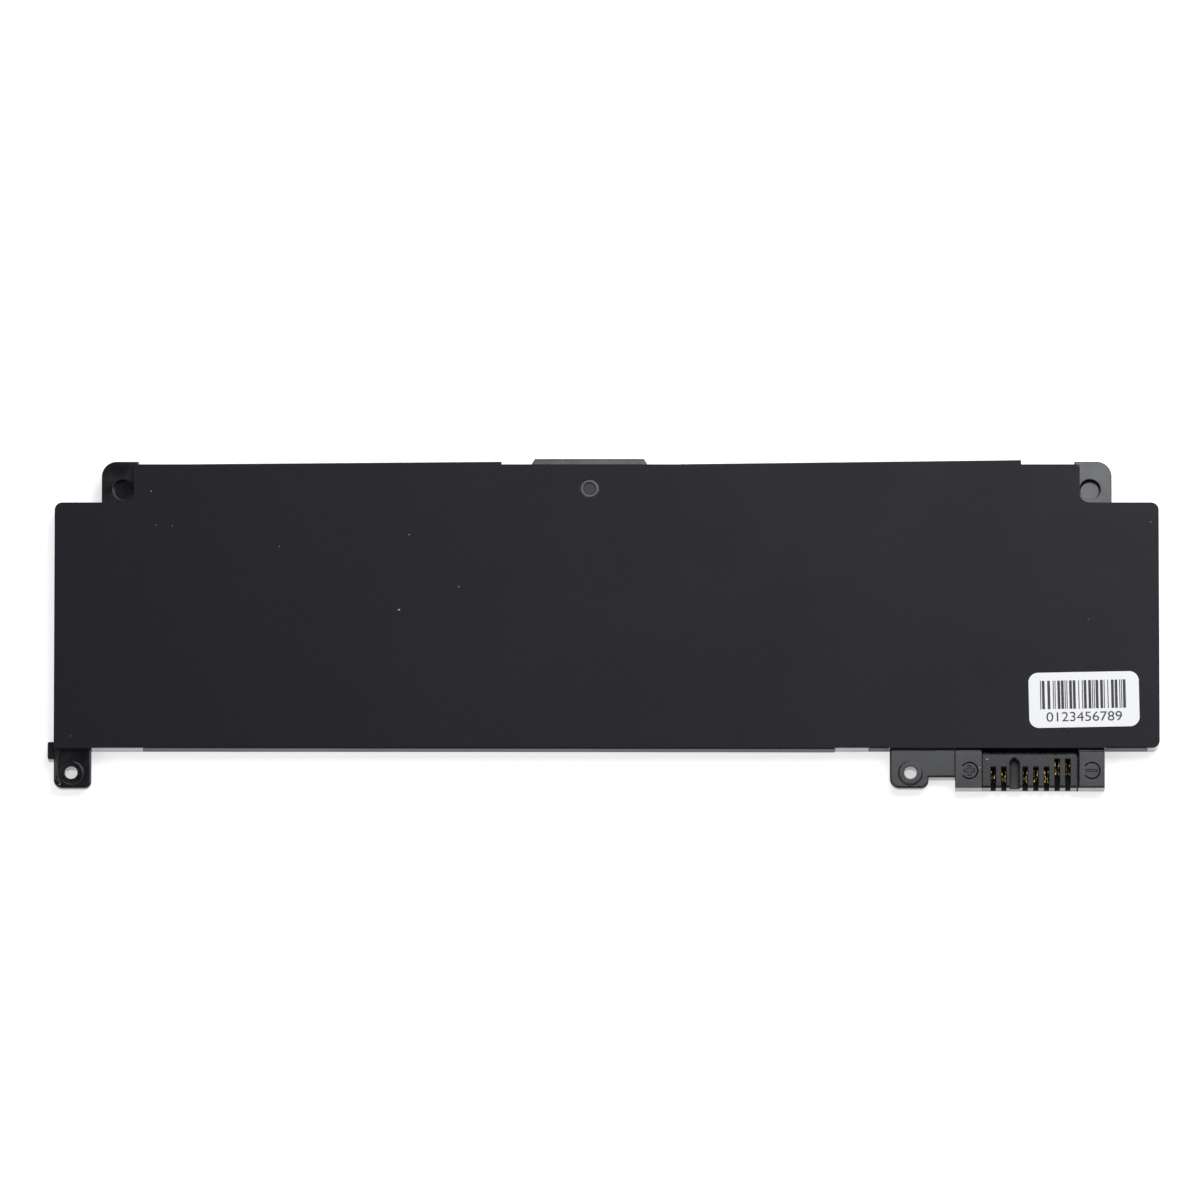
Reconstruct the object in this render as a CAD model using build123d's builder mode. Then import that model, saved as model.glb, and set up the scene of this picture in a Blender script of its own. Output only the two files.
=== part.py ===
"""Slim notebook battery pack.

A moulded frame holds three flat pouch cells and a protection board. A slotted edge connector and two
screw lugs stand out at the front edge, a latch lip at the rear edge, and a film closes each face.
Lengths are in millimetres. The pack lies on its under film, with the connector towards -Y.
"""

import os

from build123d import *

# Body outline
BODY_WIDTH = 263.6
BODY_DEPTH = 69.0
PACK_THICKNESS = 5.5
SHOULDER_DROP = 9.3
CORNER_RADIUS = 1.8

# Frame moulding
WALL = 1.2
FLOOR = 0.6
CELL_RIB = 1.0
BOARD_RAIL = 1.0
BEAM_SKIN = 1.2
BEAM_RIB = 1.0
BEAM_POCKET_COUNT = 12
RIDGE_WIDTH = 1.2
RIDGE_COUNT = 7

# Rear corner tabs with their round dimples
TAB_INSET = 11.2
TAB_WIDTH = 7.7
TAB_REACH = 0.8
TAB_RADIUS = 3.6
TAB_DROP = 0.35
TAB_EDGE_RADIUS = 0.3
DIMPLE_RADIUS = 2.5
DIMPLE_DEPTH = 2.0
DIMPLE_TAPER = 6.0
DIMPLE_SHOULDER_GAP = 0.75

# Latch lip and the boss in the film window, both on one line across the rear edge
REAR_CENTRE_X = -4.1
LIP_BASE = 28.2
LIP_TIP = 26.0
LIP_REACH = 1.9
LIP_HEIGHT = 1.2
LIP_THICKNESS = 1.8
LIP_CHAMFER = 0.4
WINDOW_SETBACK = 5.9
WINDOW_RADIUS = 2.35
WINDOW_GAP = 0.2
BOSS_RISE = 0.12
BOSS_DIMPLE_RADIUS = 1.5
BOSS_DIMPLE_DEPTH = 0.3

# Screw lugs on the front edge
LUG_REACH = 9.5
LUG_DROP = 1.3
LUG_PLATE = 2.0
LUG_EDGE_RADIUS = 0.4
PEDESTAL_REACH = 6.6
PEDESTAL_RADIUS = 3.0
HOLE_SETBACK = 5.85
HOLE_RADIUS = 1.5
COLLAR_RADIUS = 2.85
COLLAR_RISE = 0.6
COLLAR_CHAMFER = 0.15
LEFT_HOLE_INSET = 4.2
LEFT_LUG_WIDTH = 9.0
LEFT_LUG_OUTER_RADIUS = 2.1
LEFT_LUG_INNER_RADIUS = 1.6
LEFT_RIM_WIDTH = 1.8
LEFT_RIM_WAIST = 1.0
LEFT_RIM_RISE = 0.3
LEFT_RIM_TAPER = 25.0
EAR_REACH = 1.5
EAR_FRONT = 2.5
EAR_REAR = 1.8
EAR_RADIUS = 0.5
RIGHT_HOLE_INSET = 59.4
RIGHT_LUG_LEFT = 4.95
RIGHT_LUG_RIGHT = 4.3
RIGHT_LUG_LEFT_RADIUS = 2.3
RIGHT_LUG_RIGHT_RADIUS = 1.8
BRIDGE_REACH = 6.9

# Connector: two end blocks of the frame and the slotted housing between them
CONNECTOR_INSET = 30.8
CONNECTOR_REACH = 9.6
LEFT_BLOCK_WIDTH = 6.4
RIGHT_BLOCK_WIDTH = 6.3
BLOCK_DROP = 0.35
BLOCK_CHAMFER = 0.25
BLOCK_RELIEF = 0.75
BLOCK_RELIEF_DEPTH = 0.8
HOUSING_LEFT_END = 2.6
HOUSING_RIGHT_END = 2.1
HOUSING_GAP = 0.1
HOUSING_PLAY = 0.4
HOUSING_DROP = 0.15
HOUSING_RELIEF = 1.5
COMB_EDGE_RADIUS = 0.5
TONGUE_DROP = 2.3
TONGUE_REACH = 0.3
LEFT_CONTACT_COUNT = 2
RIGHT_CONTACT_COUNT = 5
SLOT_PITCH = 2.54
SLOT_WIDTH = 1.25
SLOT_FLOOR = 0.25
SLOT_LENGTH = 5.1
LONG_SLOT_LENGTH = 7.05
LONG_SLOT_COUNT = 2
KEY_WIDTH = 2.4
KEY_LENGTH = 7.4
KEY_DEPTH = 1.5

# Fork contacts
CONTACT_DROP = 2.0
CONTACT_SHEET = 0.2
CONTACT_GAP = 0.1
CONTACT_NIP = 0.24
CONTACT_SHANK = 1.0
CONTACT_BOW = 1.6
CONTACT_FLARE = 0.8
CONTACT_BEND_RADIUS = 0.5
TAIL_WIDTH = 0.8
TAIL_ON_BOARD = 1.6
TAIL_GAP = 0.1

# Protection board
CHANNEL_DEPTH = 9.2
BOARD_END_GAP = 8.6
BOARD_THICKNESS = 0.8
BOARD_GAP = 0.3
BOARD_STANDOFF = 0.2
BOARD_CORNER_RADIUS = 1.0
PIN_RADIUS = 0.9
PIN_GAP = 0.1
PIN_INSET = 3.0
PIN_RISE = 0.4

# Parts on the board: length along the pack, depth across it and height
GAUGE_CHIP = (6.4, 4.4, 0.9)
PROTECTOR_CHIP = (3.0, 3.0, 0.8)
SWITCH_CHIP = (5.0, 5.6, 1.0)
FUSE = (5.4, 3.2, 1.1)
SENSE_RESISTOR = (3.2, 6.3, 0.6)
THERMISTOR = (2.0, 1.25, 0.8)
PART_GAP = 1.2
CHIP_CHAMFER = 0.1
CAPACITOR = (1.6, 0.8, 0.8)
CAPACITOR_ROW_COUNT = 3
CAPACITOR_X = -4.0
RESISTOR = (1.0, 0.5, 0.35)
RESISTOR_ROW_COUNT = 4
RESISTOR_X = 6.0
CHIP_COLUMN_COUNT = 2
CHIP_GAP = 0.6

# Pouch cells and how they are joined to the board
CELL_COUNT = 3
CELL_SIDE_GAP = 0.4
CELL_END_GAP = 0.3
CELL_SWELL_GAP = 0.45
CELL_CORNER_RADIUS = 2.0
CELL_EDGE_CHAMFER = 0.8
SEAM_THICKNESS = 0.4
SEAM_HEIGHT = 2.8
SEAM_INSET = 3.0
TERRACE_DEPTH = 3.2
TERRACE_THICKNESS = 0.35
CELL_TAPE = 0.15
CELL_TAPE_INSET = 5.0
STRIP_SPACING = 40.0
STRIP_WIDTH = 6.0
STRIP_THICKNESS = 0.15
WELD_LENGTH = 8.0
WELD_DEPTH = 4.4
WELD_THICKNESS = 0.3
WELD_MARGIN = 0.4
RAIL_CLEARANCE = 0.05
TAB_TAPE = 0.1
TAB_TAPE_OVERLAP = 2.0
TAB_TAPE_MARGIN = 0.3

# Films and sticker
FACE_FILM = 0.25
UNDER_FILM = 0.15
UNDER_FILM_INSET = 0.4
FILM_NOTCH_RADIUS = 2.5
FILM_CORNER_RADIUS = 1.0
FLAP_DROP = 4.2
FLAP_SLACK = 0.05
FLAP_END_GAP = 0.4
FLAP_LIFT = 0.1
FOLD_RADIUS = 0.4
FOLD_SETBACK = 0.6
REAR_FLAP_INSET = 13.9
REAR_LEFT_FLAP_GAP = 21.0
REAR_LEFT_FLAP_LIFT = 0.7
REAR_RIGHT_FLAP_GAP = 21.7
REAR_RIGHT_FLAP_LIFT = 1.1
FRONT_FLAP_INSET = 21.5
FRONT_FLAP_GAP = 13.15
FRONT_FLAP_LIFT = 0.35
LUG_FLAP_LENGTH = 4.4
END_FLAP_LENGTH = 9.6
STICKER_WIDTH = 26.3
STICKER_DEPTH = 13.4
STICKER_RADIUS = 2.3
STICKER_THICKNESS = 0.1
STICKER_INSET = 18.0
STICKER_SETBACK = 11.7
STICKER_TURN = 1.1

# Places along X, from the middle of the body
side_x = BODY_WIDTH / 2
tab_outer_x = side_x - TAB_INSET
film_step_x = tab_outer_x - TAB_WIDTH
left_hole_x = LEFT_HOLE_INSET - side_x
right_hole_x = side_x - RIGHT_HOLE_INSET
left_lug_x = LEFT_LUG_WIDTH - side_x
right_lug_low_x = right_hole_x - RIGHT_LUG_LEFT
right_lug_high_x = right_hole_x + RIGHT_LUG_RIGHT
connector_x = side_x - CONNECTOR_INSET
slot_count = LEFT_CONTACT_COUNT + 1 + RIGHT_CONTACT_COUNT
slot_places = [(place - (slot_count - 1) / 2) * SLOT_PITCH for place in range(slot_count)]
housing_low_x = connector_x + slot_places[0] - HOUSING_LEFT_END
housing_high_x = connector_x + slot_places[-1] + HOUSING_RIGHT_END
bay_low_x = housing_low_x - HOUSING_GAP
bay_high_x = housing_high_x + HOUSING_PLAY
left_block_x = bay_low_x - LEFT_BLOCK_WIDTH
right_block_x = bay_high_x + RIGHT_BLOCK_WIDTH
sticker_x = side_x - STICKER_INSET
inner_x = side_x - WALL
board_length = 2 * (inner_x - BOARD_END_GAP)
cell_bay = (2 * inner_x - (CELL_COUNT - 1) * CELL_RIB) / CELL_COUNT
cell_pitch = cell_bay + CELL_RIB
cell_centres = [(place - (CELL_COUNT - 1) / 2) * cell_pitch for place in range(CELL_COUNT)]

# Places along Y, from the front edge of the body
shoulder_y = BODY_DEPTH - SHOULDER_DROP
channel_end_y = WALL + CHANNEL_DEPTH
rail_end_y = channel_end_y + BOARD_RAIL
bay_end_y = shoulder_y - WALL
window_y = BODY_DEPTH - WINDOW_SETBACK
housing_back_y = WALL + TONGUE_REACH
board_front_y = housing_back_y + BOARD_GAP
board_back_y = channel_end_y - BOARD_GAP
board_middle_y = (board_front_y + board_back_y) / 2
board_depth = board_back_y - board_front_y
cell_front_y = rail_end_y + CELL_END_GAP
cell_back_y = bay_end_y - CELL_END_GAP
cup_front_y = cell_front_y + TERRACE_DEPTH
screw_places = [(left_hole_x, -HOLE_SETBACK), (right_hole_x, -HOLE_SETBACK)]

# Heights, from the surface that the pack lies on
frame_low = UNDER_FILM
film_low = PACK_THICKNESS - FACE_FILM
tab_top = film_low - TAB_DROP
lug_top = film_low - LUG_DROP
plate_low = lug_top - LUG_PLATE
collar_top = lug_top + COLLAR_RISE
block_top = film_low - BLOCK_DROP
floor_top = frame_low + FLOOR
housing_top = block_top - HOUSING_DROP
tongue_top = housing_top - TONGUE_DROP
board_low = floor_top + BOARD_STANDOFF
board_top = board_low + BOARD_THICKNESS
slot_floor = floor_top + SLOT_FLOOR
strip_low = board_top + WELD_THICKNESS
strip_top = strip_low + STRIP_THICKNESS
terrace_low = (strip_low + strip_top - TERRACE_THICKNESS) / 2
rail_top = strip_low - RAIL_CLEARANCE
cell_low = frame_low + CELL_TAPE
cell_top = film_low - CELL_SWELL_GAP
contact_top = housing_top - CONTACT_DROP
flap_recess = FACE_FILM + FLAP_SLACK - FLAP_LIFT

# The model's origin is under the middle of the whole outline, ear, lip and connector included
front_reach = max(LUG_REACH, CONNECTOR_REACH)
origin_x = EAR_REACH / 2
origin_y = (front_reach - BODY_DEPTH - LIP_REACH) / 2


def level(z, x=0, y=0):
    """A sketch plane at height z, its own origin x, y from the middle of the body's front edge."""
    return Plane((origin_x + x, origin_y + y, z))


def area(low_x, high_x, low_y, high_y):
    """Adds the rectangle between two X and two Y values to the sketch in hand."""
    with Locations(((low_x + high_x) / 2, (low_y + high_y) / 2)):
        Rectangle(high_x - low_x, high_y - low_y)


def corners(sketch, *places):
    """The vertices of a sketch that lie nearest to the given places."""
    return [sketch.vertices().sort_by_distance((x, y, 0))[0] for x, y in places]


def body_outline(sketch):
    """Adds the outline that the film shares with the frame: a wide body and a narrower rear beam."""
    area(-side_x, side_x, 0, shoulder_y)
    area(-film_step_x, film_step_x, 0, BODY_DEPTH)
    fillet(corners(sketch, (-side_x, shoulder_y), (side_x, shoulder_y), (side_x, 0)), CORNER_RADIUS)


def flap_area(start, end, start_lift, end_lift, edge, way, thickness):
    """Adds a flap's plan to the sketch in hand, from where the film turns to its outer or inner face."""
    Polygon(
        (start, edge - way * FOLD_SETBACK),
        (start, edge + way * (start_lift - thickness)),
        (end, edge + way * (end_lift - thickness)),
        (end, edge - way * FOLD_SETBACK),
        align=None,
    )


def finish(builder, name):
    """Labels a finished piece and writes it to its own file."""
    builder.part.label = name
    export_step(builder.part, f"parts/{name}.step")


# Each flap of the face film: its two ends along X, the lift at each end, the edge and which way is out
flaps = [
    (
        REAR_FLAP_INSET - film_step_x,
        REAR_CENTRE_X - REAR_LEFT_FLAP_GAP,
        FLAP_LIFT,
        REAR_LEFT_FLAP_LIFT,
        BODY_DEPTH,
        1,
    ),
    (
        REAR_CENTRE_X + REAR_RIGHT_FLAP_GAP,
        film_step_x - REAR_FLAP_INSET,
        FLAP_LIFT,
        REAR_RIGHT_FLAP_LIFT,
        BODY_DEPTH,
        1,
    ),
    (
        FRONT_FLAP_INSET - side_x,
        right_lug_low_x - FRONT_FLAP_GAP,
        FLAP_LIFT,
        FRONT_FLAP_LIFT,
        0,
        -1,
    ),
    (
        right_lug_low_x - FLAP_END_GAP - LUG_FLAP_LENGTH,
        right_lug_low_x - FLAP_END_GAP,
        FLAP_LIFT,
        FLAP_LIFT,
        0,
        -1,
    ),
    (
        right_block_x + FLAP_END_GAP,
        right_block_x + FLAP_END_GAP + END_FLAP_LENGTH,
        FLAP_LIFT,
        FLAP_LIFT,
        0,
        -1,
    ),
]

os.makedirs("parts", exist_ok=True)

# Frame: one moulding
with BuildPart() as frame:
    with BuildSketch(level(frame_low)) as outline:
        body_outline(outline)
    extrude(amount=film_low - frame_low)

    # Rear corner tabs, a little lower than the film's seat
    with BuildSketch(level(frame_low)) as tabs:
        area(film_step_x - WALL, tab_outer_x, shoulder_y - WALL, BODY_DEPTH + TAB_REACH)
        fillet(corners(tabs, (tab_outer_x, BODY_DEPTH + TAB_REACH)), TAB_RADIUS)
        mirror(about=Plane.YZ)
    extrude(amount=tab_top - frame_low)
    tab_edges = frame.faces().filter_by_position(Axis.Z, tab_top, tab_top).edges()
    tab_outer_edges = tab_edges.filter_by(
        lambda edge: abs(edge.center().X - origin_x) > tab_outer_x - TAB_EDGE_RADIUS
        or edge.center().Y > origin_y + BODY_DEPTH + TAB_EDGE_RADIUS
    )
    fillet(tab_outer_edges, TAB_EDGE_RADIUS)

    # Latch lip, wider where it leaves the wall
    with BuildSketch(level(frame_low + LIP_HEIGHT, REAR_CENTRE_X, BODY_DEPTH)):
        with BuildLine():
            Polyline(
                (-LIP_BASE / 2, -WALL / 2),
                (-LIP_BASE / 2, 0),
                (-LIP_TIP / 2, LIP_REACH),
                (LIP_TIP / 2, LIP_REACH),
                (LIP_BASE / 2, 0),
                (LIP_BASE / 2, -WALL / 2),
                close=True,
            )
        make_face()
    extrude(amount=LIP_THICKNESS)
    lip_edges = frame.edges().filter_by(Axis.X).group_by(Axis.Y)[-1]
    chamfer(lip_edges, LIP_CHAMFER)

    # Screw lugs: a plate on a shorter pedestal, with a round boss under each screw
    with BuildSketch(level(frame_low)) as pedestals:
        area(-side_x, left_lug_x, -PEDESTAL_REACH, WALL)
        area(right_lug_low_x, right_lug_high_x, -PEDESTAL_REACH, WALL)
        outer_x = (-side_x, left_lug_x, right_lug_low_x)
        fillet(corners(pedestals, *((x, -PEDESTAL_REACH) for x in outer_x)), PEDESTAL_RADIUS)
        with Locations(*screw_places):
            Circle(COLLAR_RADIUS)
    extrude(amount=plate_low - frame_low)
    with BuildSketch(level(plate_low)) as plates:
        area(-side_x, left_lug_x, -LUG_REACH, WALL)
        area(right_lug_low_x, right_lug_high_x, -LUG_REACH, WALL)
        fillet(corners(plates, (-side_x, -LUG_REACH)), LEFT_LUG_OUTER_RADIUS)
        fillet(corners(plates, (left_lug_x, -LUG_REACH)), LEFT_LUG_INNER_RADIUS)
        fillet(corners(plates, (right_lug_low_x, -LUG_REACH)), RIGHT_LUG_LEFT_RADIUS)
        fillet(corners(plates, (right_lug_high_x, -LUG_REACH)), RIGHT_LUG_RIGHT_RADIUS)
    extrude(amount=LUG_PLATE)

    # Ear on the pack's left side, and the bridge from the right lug to the connector
    with BuildSketch(level(frame_low)) as ear:
        area(-side_x - EAR_REACH, -side_x + WALL, -EAR_FRONT, EAR_REAR)
        fillet(corners(ear, (-side_x - EAR_REACH, -EAR_FRONT), (-side_x - EAR_REACH, EAR_REAR)), EAR_RADIUS)
        area(right_lug_high_x, left_block_x + WALL, -BRIDGE_REACH, WALL)
    extrude(amount=lug_top - frame_low)

    # Soft upper edges on both lugs
    lug_edges = frame.faces().filter_by_position(Axis.Z, lug_top, lug_top).edges()
    lug_edges = lug_edges.filter_by(lambda edge: edge.center().Y < origin_y - LUG_EDGE_RADIUS)
    lug_edges = lug_edges.filter_by(lambda edge: edge.center().X < origin_x + left_block_x)
    fillet(lug_edges, LUG_EDGE_RADIUS)

    # Raised rim along the left lug's outer side, waisted beside the screw, with sloping sides
    with BuildSketch(level(lug_top, -side_x)):
        with BuildLine():
            rear_end = (LEFT_RIM_WIDTH, WALL)
            front_end = (LEFT_RIM_WIDTH, LEFT_LUG_OUTER_RADIUS / 2 - LUG_REACH)
            ThreePointArc(front_end, (LEFT_RIM_WAIST, -HOLE_SETBACK), rear_end)
            Polyline(
                rear_end,
                (LUG_EDGE_RADIUS, WALL),
                (LUG_EDGE_RADIUS, LEFT_LUG_OUTER_RADIUS - LUG_REACH),
                front_end,
            )
        make_face()
    extrude(amount=LEFT_RIM_RISE, taper=LEFT_RIM_TAPER)

    # Screw collars, bevelled at the top
    with BuildSketch(level(lug_top)):
        with Locations(*screw_places):
            Circle(COLLAR_RADIUS)
    extrude(amount=COLLAR_RISE)
    collar_edges = frame.edges().filter_by(GeomType.CIRCLE)
    chamfer(collar_edges.filter_by_position(Axis.Z, collar_top, collar_top), COLLAR_CHAMFER)

    # Connector end blocks, joined by the floor that the housing stands on
    with BuildSketch(level(frame_low)):
        area(left_block_x, right_block_x, -CONNECTOR_REACH, WALL)
    extrude(amount=block_top - frame_low)
    with BuildSketch(level(floor_top)):
        area(bay_low_x, bay_high_x, -CONNECTOR_REACH, 0)
    extrude(amount=block_top - floor_top, mode=Mode.SUBTRACT)
    with BuildSketch(level(block_top)):
        area(left_block_x, right_block_x, -BLOCK_RELIEF, 0)
    extrude(amount=-BLOCK_RELIEF_DEPTH, mode=Mode.SUBTRACT)
    block_edges = frame.faces().filter_by_position(Axis.Z, block_top, block_top).edges()
    chamfer(block_edges.filter_by(lambda edge: edge.center().Y < origin_y), BLOCK_CHAMFER)

    # Bays for the cells, open to both films
    with BuildSketch(level(frame_low)):
        for centre in cell_centres:
            area(centre - cell_bay / 2, centre + cell_bay / 2, rail_end_y, bay_end_y)
    extrude(amount=film_low - frame_low, mode=Mode.SUBTRACT)

    # Rail between cells and board, low enough for the terminal strips to pass over
    with BuildSketch(level(rail_top)):
        for centre in cell_centres:
            area(centre - cell_bay / 2, centre + cell_bay / 2, channel_end_y, rail_end_y)
    extrude(amount=film_low - rail_top, mode=Mode.SUBTRACT)

    # Channel for the board, with a floor, cross ridges and two pins
    with BuildSketch(level(floor_top)):
        area(-inner_x, inner_x, WALL, channel_end_y)
    extrude(amount=film_low - floor_top, mode=Mode.SUBTRACT)
    with BuildSketch(level(floor_top, 0, board_middle_y)):
        with GridLocations(board_length / RIDGE_COUNT, board_depth, RIDGE_COUNT, 1):
            Rectangle(RIDGE_WIDTH, board_depth)
    extrude(amount=BOARD_STANDOFF)
    with BuildSketch(level(floor_top, 0, board_middle_y)):
        with GridLocations(board_length - 2 * PIN_INSET, board_depth, 2, 1):
            Circle(PIN_RADIUS)
    extrude(amount=board_top + PIN_RISE - floor_top)

    # Opening in the front wall for the housing's tongue
    with BuildSketch(level(floor_top)):
        area(bay_low_x, bay_high_x, 0, WALL)
    extrude(amount=tongue_top + HOUSING_GAP - floor_top, mode=Mode.SUBTRACT)

    # Rear beam and corner tabs, cored out from below
    beam_low_y = shoulder_y
    beam_depth = BODY_DEPTH - WALL - beam_low_y
    beam_pitch = (2 * film_step_x - 2 * WALL + BEAM_RIB) / BEAM_POCKET_COUNT
    with BuildSketch(level(frame_low, 0, beam_low_y + beam_depth / 2)):
        with GridLocations(beam_pitch, beam_depth, BEAM_POCKET_COUNT, 1):
            Rectangle(beam_pitch - BEAM_RIB, beam_depth)
    extrude(amount=film_low - BEAM_SKIN - frame_low, mode=Mode.SUBTRACT)
    with BuildSketch(level(frame_low)) as tab_pockets:
        area(film_step_x + WALL, tab_outer_x - WALL, shoulder_y, BODY_DEPTH + TAB_REACH - WALL)
        fillet(corners(tab_pockets, (tab_outer_x - WALL, BODY_DEPTH + TAB_REACH - WALL)), TAB_RADIUS - WALL)
        mirror(about=Plane.YZ)
    extrude(amount=tab_top - DIMPLE_DEPTH - BEAM_SKIN - frame_low, mode=Mode.SUBTRACT)

    # Dimples in the tabs, and the dimpled boss under the film's window
    dimple_x = film_step_x + DIMPLE_RADIUS
    dimple_y = shoulder_y + DIMPLE_RADIUS + DIMPLE_SHOULDER_GAP
    with BuildSketch(level(tab_top)):
        with Locations((-dimple_x, dimple_y), (dimple_x, dimple_y)):
            Circle(DIMPLE_RADIUS)
    extrude(amount=-DIMPLE_DEPTH, taper=DIMPLE_TAPER, mode=Mode.SUBTRACT)
    with BuildSketch(level(film_low, REAR_CENTRE_X, window_y)):
        Circle(WINDOW_RADIUS - WINDOW_GAP)
    extrude(amount=BOSS_RISE)
    with BuildSketch(level(film_low + BOSS_RISE, REAR_CENTRE_X, window_y)):
        Circle(BOSS_DIMPLE_RADIUS)
    extrude(amount=-BOSS_DIMPLE_DEPTH, mode=Mode.SUBTRACT)

    # Shallow recesses that take the film's flaps
    with BuildSketch(level(film_low)):
        for start, end, start_lift, end_lift, edge, way in flaps:
            low_y, high_y = sorted((edge - way * flap_recess, edge + way * flap_recess))
            area(start - FLAP_END_GAP / 2, end + FLAP_END_GAP / 2, low_y, high_y)
    extrude(amount=FACE_FILM - FLAP_DROP - FLAP_SLACK, mode=Mode.SUBTRACT)

    # Screw holes through collars and lugs
    with BuildSketch(level(frame_low)):
        with Locations(*screw_places):
            Circle(HOLE_RADIUS)
    extrude(amount=collar_top - frame_low, mode=Mode.SUBTRACT)
finish(frame, "frame")

# Connector housing: a comb with seven contact slots and one wide keying slot
contact_slots = []
for place, slot_x in enumerate(slot_places):
    slot_length = LONG_SLOT_LENGTH if place >= slot_count - LONG_SLOT_COUNT else SLOT_LENGTH
    if place != LEFT_CONTACT_COUNT:
        contact_slots.append((slot_x, slot_length))
key_x = slot_places[LEFT_CONTACT_COUNT]
housing_reach = housing_back_y + CONNECTOR_REACH
tail_end_y = board_front_y + TAIL_ON_BOARD

with BuildPart() as connector_housing:
    # Section across the pack: a high comb in front, a lower tongue through the frame's wall
    with BuildSketch(level(floor_top)):
        area(housing_low_x, housing_high_x, -CONNECTOR_REACH, housing_back_y)
    extrude(amount=tongue_top - floor_top)
    with BuildSketch(level(tongue_top)):
        area(housing_low_x, housing_high_x, -CONNECTOR_REACH, -HOUSING_RELIEF)
    extrude(amount=housing_top - tongue_top)
    comb_edge = connector_housing.edges().filter_by(Axis.X).group_by(Axis.Z)[-1].sort_by(Axis.Y)[0]
    fillet(comb_edge, COMB_EDGE_RADIUS)

    # Contact slots, open above and in front, each with a passage for its contact's tail
    with BuildSketch(level(slot_floor, connector_x, -CONNECTOR_REACH)):
        for slot_x, slot_length in contact_slots:
            area(slot_x - SLOT_WIDTH / 2, slot_x + SLOT_WIDTH / 2, 0, slot_length)
    extrude(amount=housing_top - slot_floor, mode=Mode.SUBTRACT)
    with BuildSketch(level(board_top - TAIL_GAP, connector_x, -CONNECTOR_REACH)):
        for slot_x, slot_length in contact_slots:
            half_passage = TAIL_WIDTH / 2 + TAIL_GAP
            area(slot_x - half_passage, slot_x + half_passage, slot_length, housing_reach)
    extrude(amount=CONTACT_SHEET + 2 * TAIL_GAP, mode=Mode.SUBTRACT)

    # Keying slot: shallower and wider, with a pointed arch at its closed end
    with BuildSketch(level(housing_top, connector_x + key_x, -CONNECTOR_REACH)):
        arch_start = KEY_LENGTH - KEY_WIDTH / 2
        with BuildLine():
            Polyline(
                (-KEY_WIDTH / 2, arch_start),
                (-KEY_WIDTH / 2, 0),
                (KEY_WIDTH / 2, 0),
                (KEY_WIDTH / 2, arch_start),
            )
            RadiusArc((KEY_WIDTH / 2, arch_start), (0, KEY_LENGTH), -KEY_WIDTH)
            RadiusArc((0, KEY_LENGTH), (-KEY_WIDTH / 2, arch_start), -KEY_WIDTH)
        make_face()
    extrude(amount=-KEY_DEPTH, mode=Mode.SUBTRACT)
finish(connector_housing, "connector_housing")

# Contacts: a fork of two bowed leaves in each slot, with a flat tail that lies on the board
leaf_outer = SLOT_WIDTH / 2 - CONTACT_GAP
leaf_inner = leaf_outer - CONTACT_SHEET
for number, (slot_x, slot_length) in enumerate(contact_slots, start=1):
    slot_end_y = slot_length - CONNECTOR_REACH - CONTACT_GAP
    with BuildPart() as contact:
        with BuildSketch(level(slot_floor, connector_x + slot_x, slot_end_y)) as fork:
            with BuildLine():
                bow_y = -CONTACT_SHANK - CONTACT_BOW
                tip_y = bow_y - CONTACT_FLARE
                nip_inner = CONTACT_NIP / 2
                nip_outer = nip_inner + CONTACT_SHEET
                Polyline(
                    (0, 0),
                    (leaf_outer, 0),
                    (leaf_outer, -CONTACT_SHANK),
                    (nip_outer, bow_y),
                    (leaf_outer, tip_y),
                    (leaf_inner, tip_y),
                    (nip_inner, bow_y),
                    (leaf_inner, -CONTACT_SHANK),
                    (leaf_inner, -CONTACT_SHEET),
                    (0, -CONTACT_SHEET),
                    close=True,
                )
            make_face()
            fillet(corners(fork, (nip_inner, bow_y)), CONTACT_BEND_RADIUS)
            fillet(corners(fork, (nip_outer, bow_y)), CONTACT_BEND_RADIUS)
            mirror(about=Plane.YZ)
        extrude(amount=contact_top - slot_floor)
        with BuildSketch(level(board_top, connector_x + slot_x, slot_end_y)):
            area(-TAIL_WIDTH / 2, TAIL_WIDTH / 2, -CONTACT_SHEET, tail_end_y - slot_end_y)
        extrude(amount=CONTACT_SHEET)
    finish(contact, f"contact_{number}")

# Protection board: a narrow strip on the channel's ridges, held by two pins
with BuildPart() as protection_board:
    with BuildSketch(level(board_low, 0, board_middle_y)) as board_outline:
        Rectangle(board_length, board_depth)
        fillet(board_outline.vertices(), BOARD_CORNER_RADIUS)
        with GridLocations(board_length - 2 * PIN_INSET, board_depth, 2, 1):
            Circle(PIN_RADIUS + PIN_GAP, mode=Mode.SUBTRACT)
    extrude(amount=BOARD_THICKNESS)
finish(protection_board, "protection_board")

# Single parts on the board, in two rows that stand between the terminal strips of two cells
left_row = {
    "thermistor": THERMISTOR,
    "fuse": FUSE,
    "protector_chip": PROTECTOR_CHIP,
}
right_row = {
    "gauge_chip": GAUGE_CHIP,
    "charge_switch": SWITCH_CHIP,
    "discharge_switch": SWITCH_CHIP,
    "sense_resistor": SENSE_RESISTOR,
}
for row_x, row in ((-cell_pitch / 2, left_row), (cell_pitch / 2, right_row)):
    row_length = sum(length for length, depth, height in row.values()) + PART_GAP * (len(row) - 1)
    part_x = row_x - row_length / 2
    for name, (length, depth, height) in row.items():
        with BuildPart() as board_part:
            with BuildSketch(level(board_top, part_x + length / 2, board_middle_y)):
                Rectangle(length, depth)
            extrude(amount=height)
            chamfer(board_part.faces().sort_by(Axis.Z)[-1].edges(), CHIP_CHAMFER)
        finish(board_part, name)
        part_x += length + PART_GAP

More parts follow.
